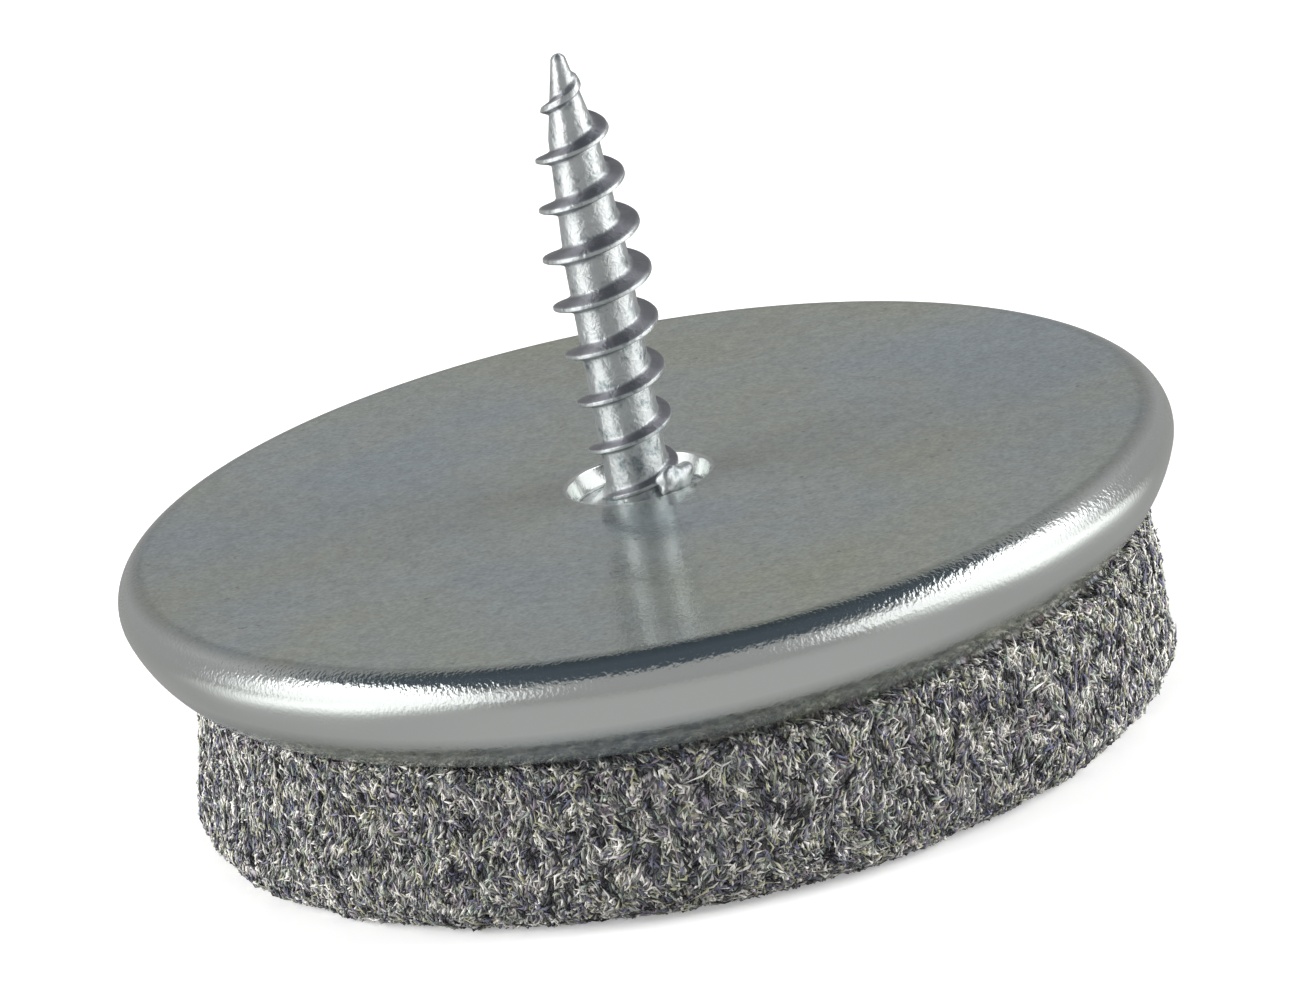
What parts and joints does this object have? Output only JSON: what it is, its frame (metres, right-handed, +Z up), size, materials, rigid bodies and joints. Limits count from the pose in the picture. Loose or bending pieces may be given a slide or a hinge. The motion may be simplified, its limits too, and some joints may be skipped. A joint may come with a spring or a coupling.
{
  "type": "felt furniture glide",
  "caption": "Round felt glide for a furniture leg: a thick grey felt pad gripped by a curled zinc-plated steel cup, with a captive wood screw standing up from its middle.",
  "frame": {"origin": "centre of the felt's underside, on the floor", "axes": "+Z up along the screw, away from the floor and into the furniture leg"},
  "size_m": [0.04, 0.04, 0.0274],
  "materials": {
    "zinc_plated_cup": "zinc plated, satin",
    "zinc_plated_screw": "zinc plated, bright",
    "grey_felt": "mixed grey needled felt"
  },
  "bodies": {
    "root": {"steel_cup": "zinc_plated_cup", "wood_screw": "zinc_plated_screw", "felt_pad": "grey_felt"}
  },
  "joints": []
}
